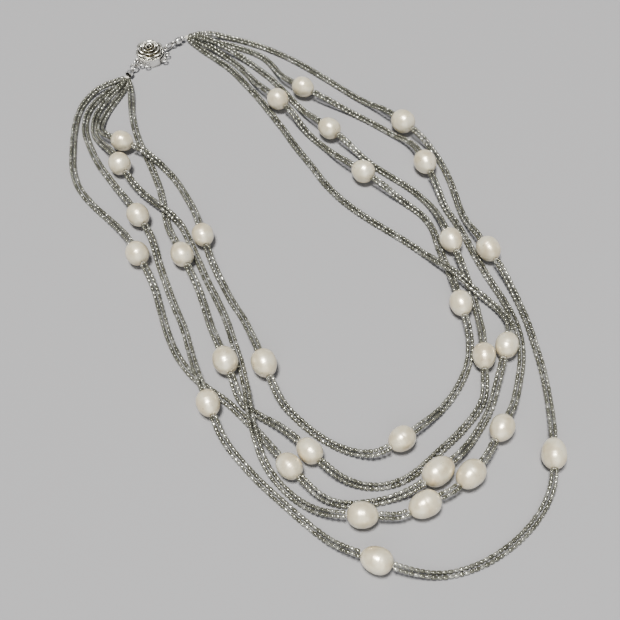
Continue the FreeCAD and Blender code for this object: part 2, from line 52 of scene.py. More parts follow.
CAMERA_PLACE = (-93.6, -159.9, 251.6)
CAMERA_TARGET = (-11.9, -18.4, 0)
CAMERA_LENS = 56.9
SENSOR_WIDTH = 36

# Floor and lights, placed in metres. The key is in W/m2 with its angle in degrees, the fill in W.
FLOOR_HALF_WIDTH = 12.0
FLOOR_COLOUR = (0.34, 0.34, 0.35, 1)
SKY = [(0.0, (0.5, 0.5, 0.52, 1)), (0.2, (0.28, 0.29, 0.31, 1)), (0.5, (0.17, 0.175, 0.19, 1))]
KEY_PLACE = (-0.11, 0.02, 0.76)
KEY_ENERGY = 4.4
KEY_ANGLE = 16
KEY_COLOUR = (1, 0.98, 0.94)
FILL_PLACE = (-0.3, -0.65, 0.4)
FILL_ENERGY = 2.2
FILL_SIZE = 1.0

# Seed beads and thread. A row starts and ends with bare thread, and stops a little short of each pearl.
ROW_SPACING = 1.32
BEAD_DIAMETER = 1.16
BEAD_PITCH = 1.5
BARE_END = 1.4
PEARL_CLEARANCE = 0.12
THREAD_DIAMETER = 0.3
THREAD_SIDES = 6
LINE_STEP = 0.5

# How the beads vary: their share of the row, how much of it they fill, their tilt and their diameter.
SHARE_RANGE = (0.88, 1.12)
FILL_RANGE = (0.86, 0.93)
TILT = 0.035
DIAMETER_RANGE = (0.9, 1.03)

# A pearl's drilled hole: its radius at the skin, then the radius and depth of its rim and of its inner end.
HOLE_RADIUS = 0.5
RIM_RADIUS, RIM_DEPTH = 0.45, 0.12
INNER_RADIUS, INNER_DEPTH = 0.42, 0.9

# The clasp's middle, the two bead tips' mouths, and the front of the loop, where the halves part.
CLASP_CENTRE = (-7.4, 106.3)
LEFT_MOUTH = (-19.05, 100.2, 1.75)
RIGHT_MOUTH = (7.9, 108.6, 1.75)
PETAL_THICKNESS = 0.16
SCROLLS = 16

# How deep every material's fine bumps are, in metres.
GRAIN_DEPTH = 0.0001

# The same routes as in part.py: each strand's centre line from the left bead tip to the right one.
# A pearl sits on the middle of the run that starts at its point number: {point: (number, diameter, length)}.
STRANDS = {
    "a": {
        "route": [
            (-21.9, 96.3, 0.65), (-26.4, 93, 0.65), (-32.1, 88.8, 0.65), (-36.1, 84.6, 1.2),
            (-38.3, 80.8, 2.6), (-38.1, 76.5, 3.6), (-30.1, 65.1, 3.6), (-27.7, 60.4, 2),
            (-25.9, 54.6, 0.65), (-24.9, 47.1, 0.65), (-25.2, 39.6, 0.65), (-25.7, 33.4, 2),
            (-26.8, 28, 3.5), (-29.8, 14.4, 3.5), (-30.5, 8.9, 2), (-30.8, 2.9, 0.65),
            (-31.4, -4.4, 0.65), (-31.1, -11.4, 0.65), (-32, -17.4, 2), (-32.8, -22.9, 3.8),
            (-35, -36.7, 3.8), (-35.3, -42.2, 2), (-34.1, -47.9, 0.65), (-31.9, -55.4, 0.65),
            (-28.4, -62.4, 0.65), (-24.2, -67.8, 2), (-19.2, -71.1, 3.6), (-5.4, -69.3, 3.6),
            (-1.1, -68.4, 2.2), (3.4, -67.2, 0.9), (8.8, -65.1, 0.65), (14.1, -62.2, 0.65),
            (19.4, -58.2, 0.65), (23.4, -52.8, 2), (25.6, -47.7, 3.5), (30.2, -34.5, 3.5),
            (32.1, -29.6, 1.5), (33.9, -24, 0.65), (35.3, -18.4, 0.65), (37.7, -12.4, 0.65),
            (38.3, -5.9, 0.65), (36.3, 0.8, 0.65), (33.9, 6.5, 2), (32, 11.7, 3.8),
            (27.2, 24.9, 3.8), (26.1, 30.3, 2), (25.3, 36.1, 0.65), (23.7, 43.1, 0.65),
            (22.9, 49, 2), (22.7, 54.6, 3.8), (19.7, 68.2, 3.8), (19.1, 73.7, 2),
            (19.3, 79.6, 0.65), (18.3, 86.6, 0.65), (16.2, 93.4, 0.8), (13.7, 99.2, 1.8),
            (10.3, 105, 2),
        ],
        "pearls": {5: (1, 7.2, 7.8), 12: (4, 7, 8), 19: (8, 7.6, 9), 26: (14, 7.2, 8.2),
                   34: (22, 7, 8.6), 43: (27, 7.6, 8.2), 49: (29, 7.6, 8)},
    },
    "b": {
        "route": [
            (-20.3, 95.6, 2), (-22.3, 90.1, 1.6), (-25.1, 84, 0.65), (-27.1, 77.1, 0.65),
            (-28.5, 70.1, 0.65), (-29.1, 62.6, 0.65), (-30.1, 54.6, 0.65), (-31.5, 46.1, 0.65),
            (-34.5, 36.6, 0.65), (-36.4, 30.2, 1.8), (-36.8, 24.7, 3.7), (-38, 10.7, 3.7),
            (-38.2, 5.2, 2), (-39.7, -2.8, 0.65), (-41.6, -10.8, 2), (-42.3, -16.3, 3.8),
            (-44.3, -30.1, 3.8), (-45.5, -35.4, 1.7), (-43.9, -40.7, 0.65), (-40.3, -47.6, 2),
            (-38, -53.5, 3.4), (-34.6, -67.1, 3.4), (-32.1, -72.1, 2), (-27.3, -76.8, 0.65),
            (-21.2, -79.6, 0.65), (-14.7, -80, 0.65), (-8.1, -78.6, 0.65), (-2.1, -77.1, 0.65),
            (3.3, -75.9, 0.65), (8.9, -74, 0.65), (12.9, -72.4, 0.65), (16.3, -70.1, 2),
            (19.3, -65.7, 3.5), (26.9, -53.9, 3.5), (29.5, -49.1, 2), (32.1, -44, 0.65),
            (34.4, -38.4, 0.65), (36.1, -32.1, 2), (37.2, -26.7, 3.6), (40.4, -13.1, 3.6),
            (41.9, -7.8, 2), (42.4, -1.9, 0.65), (40.9, 6.1, 0.65), (37.8, 14.1, 0.65),
            (34.9, 22.2, 0.65), (33, 28.6, 2), (31.7, 34, 3.7), (27.9, 47.4, 3.7),
            (27, 52.8, 2), (26.9, 58.8, 0.65), (26.4, 66.6, 0.65), (25.5, 74.2, 0.65),
            (23.7, 81.6, 0.65), (21.3, 88.6, 1.2), (18.1, 95.4, 2.6), (14.7, 100.6, 3.4),
            (10.9, 105.5, 3.4),
        ],
        "pearls": {10: (6, 7.4, 8.4), 15: (7, 7.6, 9), 20: (10, 6.8, 8.2), 32: (20, 7, 8.4),
                   38: (24, 7.2, 8.4), 46: (28, 7.4, 8.2)},
    },
    "c": {
        "route": [
            (-23.5, 99.9, 2), (-29.3, 100.5, 1.6), (-35.7, 98.6, 0.65), (-41.5, 93.2, 0.65),
            (-46.3, 85.4, 0.65), (-49.9, 77.6, 0.65), (-53.2, 70.1, 0.65), (-54.7, 61.6, 0.65),
            (-53.5, 52.6, 0.65), (-51.1, 44, 0.65), (-49.9, 37.6, 2), (-49.4, 32.1, 3.7),
            (-49.4, 18.1, 3.7), (-49.8, 12.6, 2), (-50.9, 6.8, 0.65), (-52.9, -1.4, 0.65),
            (-54.2, -9.4, 0.65), (-54.3, -17.4, 0.65), (-52.3, -25.9, 0.65), (-48.5, -34, 0.65),
            (-46.6, -41.9, 0.65), (-45.2, -48.8, 1.3), (-44.9, -54.7, 3.4), (-41.9, -68.3, 3.4),
            (-40.1, -73.5, 2), (-35.9, -77.8, 0.65), (-30.3, -80.4, 0.65), (-25.7, -82.2, 0.65),
            (-21.2, -83.5, 2), (-15.9, -84.4, 3.8), (-2.1, -82.4, 3.8), (3, -80.6, 2),
            (9.2, -77.7, 0.65), (15.5, -74.2, 0.65), (21.6, -68.8, 2), (25.9, -64.8, 3.5),
            (36.3, -55.4, 3.5), (37.7, -50.2, 2), (36.9, -44.8, 1.4), (35.5, -40.6, 2.2),
            (34.4, -36.6, 2.6), (33, -30.6, 3.7), (31.2, -24.4, 2.4), (29.5, -17.4, 0.65),
            (26.9, -9.8, 0.65), (23.7, -2.2, 0.65), (20.6, 5.8, 0.65), (18.3, 14.2, 0.65),
            (17.2, 23, 0.65), (17.4, 32, 0.65), (16.9, 41, 0.65), (17.3, 50.2, 0.65),
            (17.1, 59.4, 0.65), (17, 68.6, 0.65), (16.1, 77, 0.65), (15.5, 84.2, 0.65),
            (13.6, 91.2, 0.65), (11.4, 97.8, 0.65), (9.4, 104.5, 0.65),
        ],
        "pearls": {11: (5, 7.4, 8.2), 22: (11, 6.8, 8.2), 29: (15, 7.6, 10), 35: (21, 7, 8.4)},
    },
    "d": {
        "route": [
            (-22.8, 97.2, 2), (-28.3, 94.5, 1.8), (-34.3, 91.3, 0.65), (-38.6, 86.2, 0.65),
            (-40.8, 80.1, 0.65), (-40.2, 74.4, 2), (-39.2, 69, 3.7), (-38.8, 55, 3.7),
            (-37.8, 49.6, 2.1), (-36, 43.2, 2.1), (-33.4, 36.8, 2.4), (-31.6, 30.2, 0.65),
            (-32.5, 22.6, 0.65), (-33.4, 14.6, 0.65), (-34.5, 6.6, 0.65), (-35, -1.4, 0.65),
            (-35.9, -9.4, 0.65), (-37.7, -17.4, 0.65), (-39.1, -24.4, 0.65), (-40.8, -29.7, 0.7),
            (-42.3, -34.6, 2.2), (-44.3, -39.6, 3.2), (-46.1, -45, 3.3), (-47.6, -50.4, 3),
            (-48.6, -56.6, 1.2), (-48, -64, 0.65), (-45.7, -71.2, 0.65), (-42.6, -76.7, 2),
            (-38.5, -80.6, 3.7), (-28.3, -86.8, 3.7), (-25.9, -88.3, 3), (-23.5, -89.2, 3.7),
            (-11.5, -89.8, 3.7), (-7.6, -90, 3.7), (4, -87, 3.7), (8.6, -84.3, 3.6),
            (19, -78.5, 3.6), (23.3, -75.4, 2.1), (28.1, -70.9, 0.65), (33.6, -65.2, 0.65),
            (37.8, -58.7, 0.65), (40.1, -51.8, 0.65), (41.3, -44.4, 0.65), (42, -36.9, 0.65),
            (43, -29.4, 0.65), (44.5, -21.9, 0.65), (45.7, -14.4, 0.65), (46, -7, 0.65),
            (47.3, -1, 2), (48.4, 4.4, 3.8), (51, 18.2, 3.8), (50.9, 23.7, 2),
            (48.7, 29.6, 0.65), (45.8, 37, 0.65), (42.4, 44.1, 0.65), (38.6, 50.4, 2),
            (35, 56, 3.6), (28.8, 68.6, 3.6), (28.4, 74.1, 2), (29.2, 79.9, 0.65),
            (28.1, 86.4, 0.65), (24.4, 92.4, 0.65), (20, 98.2, 0.65), (15.7, 103, 0.65),
            (11.6, 106, 0.65),
        ],
        "pearls": {6: (2, 7.4, 8), 28: (12, 7.4, 8.6), 31: (17, 7.4, 9.4), 33: (16, 7.4, 9.4),
                   35: (18, 7.2, 8.4), 49: (25, 7.6, 8.6), 56: (30, 7.2, 8.2)},
    },
    "e": {
        "route": [
            (-23.6, 98.7, 0.65), (-29.4, 97.3, 0.65), (-35.3, 94.6, 0.65), (-39.9, 90.1, 0.65),
            (-42.9, 83.9, 0.65), (-44.1, 76.6, 0.65), (-44.7, 68, 0.65), (-44, 59.2, 0.65),
            (-43.6, 51.6, 2), (-43.2, 45.9, 3.6), (-42.4, 31.9, 3.6), (-43.1, 26.4, 2),
            (-44.5, 20.6, 0.65), (-45.9, 12.6, 0.65), (-47.3, 4, 0.65), (-48.2, -5.4, 0.65),
            (-50.5, -14.4, 0.65), (-51.9, -20.9, 2), (-52.8, -26.3, 3.5), (-55, -40.1, 3.5),
            (-55.1, -45.6, 2), (-54.1, -51.4, 0.65), (-52.6, -59.4, 0.65), (-50.2, -67.4, 0.65),
            (-48, -74.4, 0.65), (-45.9, -80.6, 0.65), (-43.9, -86, 2), (-41.2, -90.5, 3.7),
            (-32.2, -101.3, 3.7), (-27.9, -104.7, 2), (-22.9, -107.6, 0.65), (-15.3, -109.8, 0.65),
            (-6.5, -110.2, 0.65), (2.5, -108.8, 0.65), (9.7, -106.2, 0.65), (14, -103.6, 2),
            (17.6, -100.5, 3.6), (25.8, -89.1, 3.6), (29, -84.6, 2), (32.3, -79.4, 0.65),
            (36.1, -72.4, 0.65), (39.2, -64.8, 0.65), (42.4, -56.6, 0.65), (44.9, -47.9, 0.65),
            (46, -41.2, 2), (46.5, -35.7, 3.7), (47.5, -21.7, 3.7), (48.1, -16.2, 2),
            (49.6, -10.4, 0.65), (52.4, -2.8, 0.65), (54.9, 5, 0.65), (56.3, 12.2, 0.65),
            (56, 18.3, 2), (55, 23.7, 4), (51.6, 37.3, 4), (50.2, 42.6, 2),
            (48.1, 48.3, 0.65), (45.3, 56, 0.65), (42.7, 64, 0.65), (39.8, 72, 0.65),
            (36.5, 80, 0.65), (32.3, 88, 0.65), (27, 95.6, 0.65), (21.9, 101.4, 0.7),
            (17.2, 105.5, 1.7), (12.2, 107.5, 2),
        ],
        "pearls": {9: (3, 7.2, 8.4), 18: (9, 7, 8.4), 27: (13, 7.4, 8.8), 36: (19, 7.2, 9.2),
                   45: (23, 7.4, 8.6), 53: (26, 8, 8.6)},
    },
}


# Camera, floor and light


def metres(*point):
    return tuple(v * MM for v in point)


def make_camera():
    data = bpy.data.cameras.new("camera")
    data.lens = CAMERA_LENS
    data.sensor_width = SENSOR_WIDTH
    data.clip_start = 0.01
    camera = bpy.data.objects.new("camera", data)
    camera.location = metres(*CAMERA_PLACE)
    look = Vector(metres(*CAMERA_TARGET)) - camera.location
    camera.rotation_euler = look.to_track_quat("-Z", "Y").to_euler()
    bpy.context.collection.objects.link(camera)
    bpy.context.scene.camera = camera


def aim(light):
    # Point the light at the origin.
    light.rotation_euler = (-light.location).to_track_quat("-Z", "Y").to_euler()
    bpy.context.collection.objects.link(light)


def make_stage():
    mesh = bpy.data.meshes.new("floor")
    half = FLOOR_HALF_WIDTH
    corners = [(-half, -half, 0), (half, -half, 0), (half, half, 0), (-half, half, 0)]
    mesh.from_pydata(corners, [], [(0, 1, 2, 3)])
    floor = bpy.data.objects.new("floor", mesh)
    bpy.context.collection.objects.link(floor)
    cloth = material("floor_pale")
    set_inputs(cloth, {"Base Color": FLOOR_COLOUR, "Roughness": 0.9})
    mesh.materials.append(cloth)


def make_light():
    world = bpy.data.worlds.new("studio")
    world.use_nodes = True
    place = add(world, "ShaderNodeTexCoord")
    parts = add(world, "ShaderNodeSeparateXYZ")
    level = ramp(world, SKY)
    link(world, place, "Generated", parts, "Vector")
    link(world, parts, "Z", level, "Fac")
    link(world, level, "Color", world.node_tree.nodes["Background"], "Color")
    bpy.context.scene.world = world
    bpy.context.scene.view_settings.look = "AgX - Medium High Contrast"
    data = bpy.data.lights.new("key", "SUN")
    data.energy = KEY_ENERGY
    data.angle = math.radians(KEY_ANGLE)
    data.color = KEY_COLOUR
    key = bpy.data.objects.new("key", data)
    key.location = KEY_PLACE
    aim(key)
    data = bpy.data.lights.new("fill", "AREA")
    data.shape = "DISK"
    data.size = FILL_SIZE
    data.energy = FILL_ENERGY
    fill = bpy.data.objects.new("fill", data)
    fill.location = FILL_PLACE
    aim(fill)


# Materials


def material(name):
    made = bpy.data.materials.new(name)
    made.use_nodes = True
    return made


def shader(made):
    return made.node_tree.nodes["Principled BSDF"]


def set_inputs(made, values):
    for key, value in values.items():
        shader(made).inputs[key].default_value = value


def add(made, kind, **inputs):
    node = made.node_tree.nodes.new(kind)
    for key, value in inputs.items():
        node.inputs[key.replace("_", " ")].default_value = value
    return node


def link(made, source, output, target, socket):
    made.node_tree.links.new(source.outputs[output], target.inputs[socket])


def ramp(made, stops):
    # A colour ramp from its (position, colour) stops.
    node = add(made, "ShaderNodeValToRGB")
    band = node.color_ramp
    band.elements[0].position, band.elements[0].color = stops[0]
    band.elements[1].position, band.elements[1].color = stops[-1]
    for position, colour in stops[1:-1]:
        band.elements.new(position).color = colour
    return node


def bump(made, height, strength):
    node = add(made, "ShaderNodeBump", Strength=strength, Distance=GRAIN_DEPTH)
    link(made, *height, node, "Height")
    link(made, node, "Normal", shader(made), "Normal")


def nacre():
    # Cream nacre, paler and deeper in patches, under a soft coat.
    made = material("nacre")
    set_inputs(
        made,
        {
            "Metallic": 0.35,
            "Specular IOR Level": 0.75,
            "IOR": 1.6,
            "Subsurface Weight": 0.08,
            "Subsurface Scale": 0.001,
            "Subsurface Radius": (1.0, 0.95, 0.85),
            "Coat Weight": 1.0,
            "Coat Roughness": 0.31,
            "Coat IOR": 1.6,
        },
    )
    place = add(made, "ShaderNodeTexCoord")
    patches = add(made, "ShaderNodeTexNoise", Scale=240.0, Detail=3.0)
    link(made, place, "Object", patches, "Vector")
    tint = ramp(
        made,
        [(0.3, (0.68, 0.585, 0.41, 1)), (0.5, (0.81, 0.735, 0.55, 1)), (0.7, (0.89, 0.84, 0.68, 1))],
    )
    link(made, patches, "Fac", tint, "Fac")
    link(made, tint, "Color", shader(made), "Base Color")
    gloss = ramp(made, [(0.3, (0.27, 0.27, 0.27, 1)), (0.7, (0.42, 0.42, 0.42, 1))])
    fine = add(made, "ShaderNodeTexNoise", Scale=900.0, Detail=4.0)
    link(made, place, "Object", fine, "Vector")
    link(made, fine, "Fac", gloss, "Fac")
    link(made, gloss, "Color", shader(made), "Roughness")
    bump(made, (fine, "Fac"), strength=0.12)
    return made


def seed_glass():
    # Pale grey-green glass with a silvery lining; every bead has its own tone.
    made = material("seed_glass")
    set_inputs(
        made,
        {
            "IOR": 1.5,
            "Transmission Weight": 0.4,
            "Metallic": 0.45,
            "Coat Weight": 0.8,
            "Coat Roughness": 0.05,
        },
    )
    tone = add(made, "ShaderNodeAttribute")
    tone.attribute_name = "tone"
    tint = ramp(
        made,
        [
            (0.0, (0.18, 0.18, 0.14, 1)),
            (0.3, (0.27, 0.27, 0.22, 1)),
            (0.75, (0.37, 0.37, 0.32, 1)),
            (1.0, (0.56, 0.56, 0.51, 1)),
        ],
    )
    link(made, tone, "Fac", tint, "Fac")
    link(made, tint, "Color", shader(made), "Base Color")
    place = add(made, "ShaderNodeTexCoord")
    streaks = add(made, "ShaderNodeTexNoise", Scale=1800.0, Detail=2.0)
    link(made, place, "Object", streaks, "Vector")
    gloss = ramp(made, [(0.3, (0.07, 0.07, 0.07, 1)), (0.75, (0.24, 0.24, 0.24, 1))])
    link(made, streaks, "Fac", gloss, "Fac")
    link(made, gloss, "Color", shader(made), "Roughness")
    bump(made, (streaks, "Fac"), strength=0.2)
    return made


def waxed_thread():
    made = material("waxed_thread")
    set_inputs(made, {"Roughness": 0.6, "Sheen Weight": 0.3})
    place = add(made, "ShaderNodeTexCoord")
    fibres = add(made, "ShaderNodeTexNoise", Scale=4000.0, Detail=2.0)
    link(made, place, "Object", fibres, "Vector")
    tint = ramp(made, [(0.3, (0.55, 0.53, 0.46, 1)), (0.7, (0.80, 0.78, 0.70, 1))])
    link(made, fibres, "Fac", tint, "Fac")
    link(made, tint, "Color", shader(made), "Base Color")
    bump(made, (fibres, "Fac"), strength=0.4)
    return made


def silver(name, dark, pale, tarnish):
    # Silver, rubbed bright by wear where it stands out and dark with tarnish in its hollows. Pointiness below
    # tarnish stays dark. An ambient-occlusion mask also paints shade into the colour, darker in recesses,
    # between close parts and where the silver meets the floor.
    made = material(name)
    set_inputs(made, {"Metallic": 1.0})
    place = add(made, "ShaderNodeTexCoord")
    wear = add(made, "ShaderNodeTexNoise", Scale=700.0, Detail=5.0)
    link(made, place, "Object", wear, "Vector")
    shape = add(made, "ShaderNodeNewGeometry")
    edges = ramp(made, [(tarnish, (0, 0, 0, 1)), (0.53, (1, 1, 1, 1))])
    link(made, shape, "Pointiness", edges, "Fac")
    tint = add(made, "ShaderNodeMix")
    tint.data_type = "RGBA"
    tint.inputs["A"].default_value = dark
    tint.inputs["B"].default_value = pale
    # Painted shade: ambient occlusion darkens the colour in recesses, between close parts and next to the
    # floor.
    painted_shade_occlusion = add(made, "ShaderNodeAmbientOcclusion", Distance=0.0014)
    painted_shade_occlusion.samples = 8
    painted_shade_ramp = ramp(made, [(0.2, (0, 0, 0, 1)), (0.75, (1, 1, 1, 1))])
    link(made, painted_shade_occlusion, "AO", painted_shade_ramp, "Fac")
    # The tarnish mask times the painted-shade mask picks between the dark and pale colours.
    patina_and_painted_shade = add(made, "ShaderNodeMath")
    patina_and_painted_shade.operation = "MULTIPLY"
    link(made, edges, "Color", patina_and_painted_shade, 0)
    link(made, painted_shade_ramp, "Color", patina_and_painted_shade, 1)
    link(made, patina_and_painted_shade, "Value", tint, "Factor")
    link(made, tint, "Result", shader(made), "Base Color")
    gloss = ramp(made, [(0.3, (0.2, 0.2, 0.2, 1)), (0.7, (0.46, 0.46, 0.46, 1))])
    link(made, wear, "Fac", gloss, "Fac")
    link(made, gloss, "Color", shader(made), "Roughness")
    bump(made, (wear, "Fac"), strength=0.25)
    return made


# Lines and tubes


def row_points(route, shift):
    # The strand's points moved sideways, so that each run stays parallel to the centre line's in plan.
    points = [Vector(point) for point in route]
    normals = []
    for start, end in zip(points, points[1:]):
        run = end - start
        normals.append(Vector((-run.y, run.x, 0)).normalized())
    moved = []
    for index, point in enumerate(points):
        before = normals[max(index - 1, 0)]
        after = normals[min(index, len(normals) - 1)]
        mean = (before + after).normalized()
        moved.append(point + mean * (shift / mean.dot(after)))
    return moved


def smooth_line(points):
    # Points along the NURBS spline whose control points are the route's, in millimetres.
    curve = bpy.data.curves.new("line", "CURVE")
    curve.dimensions = "3D"
    curve.resolution_u = 16
    spline = curve.splines.new("NURBS")
    spline.points.add(len(points) - 1)
    for slot, point in zip(spline.points, points):
        slot.co = (*(point * MM), 1)
    spline.order_u = 3
    spline.use_endpoint_u = True
    holder = bpy.data.objects.new("line", curve)
    bpy.context.collection.objects.link(holder)
    depsgraph = bpy.context.evaluated_depsgraph_get()
    mesh = bpy.data.meshes.new_from_object(holder.evaluated_get(depsgraph))
    line = np.array([vertex.co[:] for vertex in mesh.vertices]) / MM
    bpy.data.objects.remove(holder)
    bpy.data.meshes.remove(mesh)
    bpy.data.curves.remove(curve)
    return line


def distances(line):
    # How far along the line each of its points is.
    steps = np.linalg.norm(np.diff(line, axis=0), axis=1)
    return np.concatenate([[0], np.cumsum(steps)])


def at(line, along, where):
    # The places at the given distances along the line.
    return np.stack([np.interp(where, along, line[:, axis]) for axis in range(3)], axis=-1)


def across(directions):
    # Two unit vectors square to each direction.
    up = np.zeros_like(directions)
    up[..., 2] = 1
    up[np.abs(directions[..., 2]) > 0.95] = (1, 0, 0)
    side = np.cross(up, directions)
    side /= np.linalg.norm(side, axis=-1, keepdims=True)
    return side, np.cross(directions, side)


def band_faces(rings, sides):
    # Faces between neighbouring rings, each ring with the same number of vertices.
    faces = []
    for first in range(0, (rings - 1) * sides, sides):
        for column in range(sides):
            beside = (column + 1) % sides
            faces.append((first + column, first + beside, first + sides + beside, first + sides + column))
    return faces


def tube_mesh(line, radius, sides):
    # Vertices and faces of a closed-ended tube along a line.
    directions = np.gradient(line, axis=0)
    directions /= np.linalg.norm(directions, axis=1, keepdims=True)
    side, up = across(directions)
    angles = np.linspace(0, 2 * math.pi, sides, endpoint=False)
    ring = np.cos(angles)[None, :, None] * side[:, None] + np.sin(angles)[None, :, None] * up[:, None]
    vertices = (line[:, None] + radius * ring).reshape(-1, 3)
    faces = band_faces(len(line), sides)
    faces.append(tuple(range(sides))[::-1])
    faces.append(tuple(range(len(vertices) - sides, len(vertices))))
    return vertices, faces


def make_object(name, vertices, faces, materials):
    # A smooth-shaded object from vertices in millimetres.
    mesh = bpy.data.meshes.new(name)
    mesh.from_pydata(np.asarray(vertices) * MM, [], faces)
    for each in materials:
        mesh.materials.append(each)
    mesh.polygons.foreach_set("use_smooth", [True] * len(mesh.polygons))
    made = bpy.data.objects.new(name, mesh)
    bpy.context.collection.objects.link(made)
    return made


def join(parts):
    # One list of vertices and faces from several.
    vertices = []
    faces = []
    count = 0
    for part_vertices, part_faces in parts:
        vertices.append(np.asarray(part_vertices))
        faces += [tuple(index + count for index in face) for face in part_faces]
        count += len(part_vertices)
    return np.concatenate(vertices), faces


# Rows of seed beads


def bead_pattern(sides=10):
    # A short glass tube with rounded ends and a hole, of unit radius and unit length along Z.
    # The profile gives height and radius: up the outside from end to end, then down the hole.
    outside = [(-0.5, 0.6), (-0.43, 0.86), (-0.22, 1), (0.22, 1), (0.43, 0.86), (0.5, 0.6)]
    profile = outside + [(0.47, 0.36), (-0.47, 0.36)]
    angles = np.linspace(0, 2 * math.pi, sides, endpoint=False)
    vertices = [(r * math.cos(a), r * math.sin(a), z) for z, r in profile for a in angles]
    faces = []
    for row in range(len(profile)):
        below = (row + 1) % len(profile) * sides
        for column in range(sides):
            beside = (column + 1) % sides
            faces.append((row * sides + column, row * sides + beside, below + beside, below + column))
    return np.array(vertices), np.array(faces)


def pearl_seats(strand):
    # Each pearl's number, diameter and length, with its middle and the direction of its bore.
    seats = []
    for index, (number, diameter, length) in strand["pearls"].items():
        start = np.array(strand["route"][index], float)
        end = np.array(strand["route"][index + 1], float)
        axis = (end - start) / np.linalg.norm(end - start)
        seats.append((number, diameter, length, (start + end) / 2, axis))
    return seats


def bead_places(line, along, seats):
    # Start and end of each bead along the row, filling every stretch between the pearls.
    stops = [BARE_END]
    for _, _, length, centre, _ in seats:
        nearest = along[np.argmin(np.linalg.norm(line - centre, axis=1))]
        stops += [nearest - length / 2 - PEARL_CLEARANCE, nearest + length / 2 + PEARL_CLEARANCE]
    stops.append(along[-1] - BARE_END)
    places = []
    for first, last in zip(stops[::2], stops[1::2]):
        count = round((last - first) / BEAD_PITCH)
        widths = RANDOM.uniform(*SHARE_RANGE, count)
        edges = first + np.concatenate([[0], np.cumsum(widths)]) * (last - first) / widths.sum()
        places += list(zip(edges[:-1], edges[1:]))
    return np.array(places)


def bead_mesh(line, along, places):
    # A bead at each place, with its own length, tilt and width, and its tone for the glass.
    pattern, faces = bead_pattern()
    starts = at(line, along, places[:, 0])
    ends = at(line, along, places[:, 1])
    count = len(places)
    directions = ends - starts
    lengths = np.linalg.norm(directions, axis=1) * RANDOM.uniform(*FILL_RANGE, count)
    directions /= np.linalg.norm(directions, axis=1, keepdims=True)
    directions += RANDOM.normal(0, TILT, directions.shape)
    directions /= np.linalg.norm(directions, axis=1, keepdims=True)
    side, up = across(directions)
    radii = BEAD_DIAMETER / 2 * RANDOM.uniform(*DIAMETER_RANGE, count)
    centres = (starts + ends) / 2
    vertices = (
        centres[:, None]
        + pattern[None, :, 0:1] * (radii[:, None] * side)[:, None]
        + pattern[None, :, 1:2] * (radii[:, None] * up)[:, None]
        + pattern[None, :, 2:3] * (lengths[:, None] * directions)[:, None]
    )
    all_faces = faces[None] + np.arange(count)[:, None, None] * len(pattern)
    tones = np.repeat(RANDOM.uniform(0, 1, count), len(pattern))
    return vertices.reshape(-1, 3), all_faces.reshape(-1, 4), tones


def gather_at_pearls(line, seats):
    # The thread leaves the row's line and runs through the middle of each pearl.
    start_before, ease, pull = 0.5, 0.6, 0.8
    moved = line.copy()
    for _, _, length, centre, axis in seats:
        offset = line - centre
        distance = offset @ axis
        inside = np.clip((length / 2 + start_before - np.abs(distance)) / ease, 0, 1)
        inside[np.linalg.norm(offset, axis=1) > length] = 0
        sideways = offset - distance[:, None] * axis
        moved -= pull * inside[:, None] * sideways
    return moved


def make_row(name, strand, shift, glass, thread):
    # One row of beads and its thread, and the line the thread runs along.
    points = [Vector(LEFT_MOUTH)] + row_points(strand["route"], shift) + [Vector(RIGHT_MOUTH)]
    line = smooth_line(points)
    along = distances(line)
    line = at(line, along, np.linspace(0, along[-1], int(along[-1] / LINE_STEP)))
    along = distances(line)
    seats = pearl_seats(strand)
    vertices, faces, tones = bead_mesh(line, along, bead_places(line, along, seats))
    threaded = gather_at_pearls(line, seats)
    core_vertices, core_faces = tube_mesh(threaded, THREAD_DIAMETER / 2, THREAD_SIDES)
    whole, all_faces = join([(vertices, faces.tolist()), (core_vertices, core_faces)])
    row = make_object(name, whole, all_faces, [glass, thread])
    row.data.polygons.foreach_set("material_index", [0] * len(faces) + [1] * len(core_faces))
    tone = row.data.attributes.new("tone", "FLOAT", "POINT")
    tone.data.foreach_set("value", np.concatenate([tones, np.zeros(len(core_vertices))]))
    return row, threaded


def finish_row(row, strand_name):
    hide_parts(f"strand_{strand_name}_left", f"strand_{strand_name}_right")
    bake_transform(row)


# Pearls


def pearl_mesh(diameter, length, rounds=44, sides=40):
    # A drilled freshwater pearl: nearly an ellipsoid, a little egg-shaped, with faint growth rings.
    egg = RANDOM.choice([-1, 1]) * RANDOM.uniform(0.02, 0.1)
    fullness = RANDOM.uniform(2.0, 2.3)
    flat = RANDOM.uniform(0.965, 1.0)
    turn = RANDOM.uniform(0, math.pi)
    ring_phase = RANDOM.uniform(0, 6, 3)
    heights = -np.cos(np.linspace(0, math.pi, rounds))
    spread = (1 - np.abs(heights) ** fullness) ** 0.5
    spread *= 1 + egg * heights
    rings = sum(np.sin(heights * k + p) for k, p in zip((9, 17, 31), ring_phase))
    radii = diameter / 2 * np.clip(spread / spread.max() * (0.985 + 0.004 * rings), 0, 0.997)
    radii = np.maximum(radii, HOLE_RADIUS)
    z = heights * length / 2
    skin = radii > HOLE_RADIUS * 1.02
    keep = slice(np.argmax(skin), rounds - np.argmax(skin[::-1]))
    z, radii = z[keep], radii[keep]
    z = np.concatenate(
        [[z[0] + INNER_DEPTH, z[0] + RIM_DEPTH], z, [z[-1] - RIM_DEPTH, z[-1] - INNER_DEPTH]]
    )
    radii = np.concatenate([[INNER_RADIUS, RIM_RADIUS], radii, [RIM_RADIUS, INNER_RADIUS]])
    angles = np.linspace(0, 2 * math.pi, sides, endpoint=False)
    oval = 1 - (1 - flat) * np.cos(angles - turn) ** 2
    x = radii[:, None] * (np.cos(angles) * oval)[None]
    y = radii[:, None] * (np.sin(angles) * oval)[None]
    vertices = np.stack([x, y, np.broadcast_to(z[:, None], x.shape)], axis=-1).reshape(-1, 3)
    return vertices, band_faces(len(z), sides)


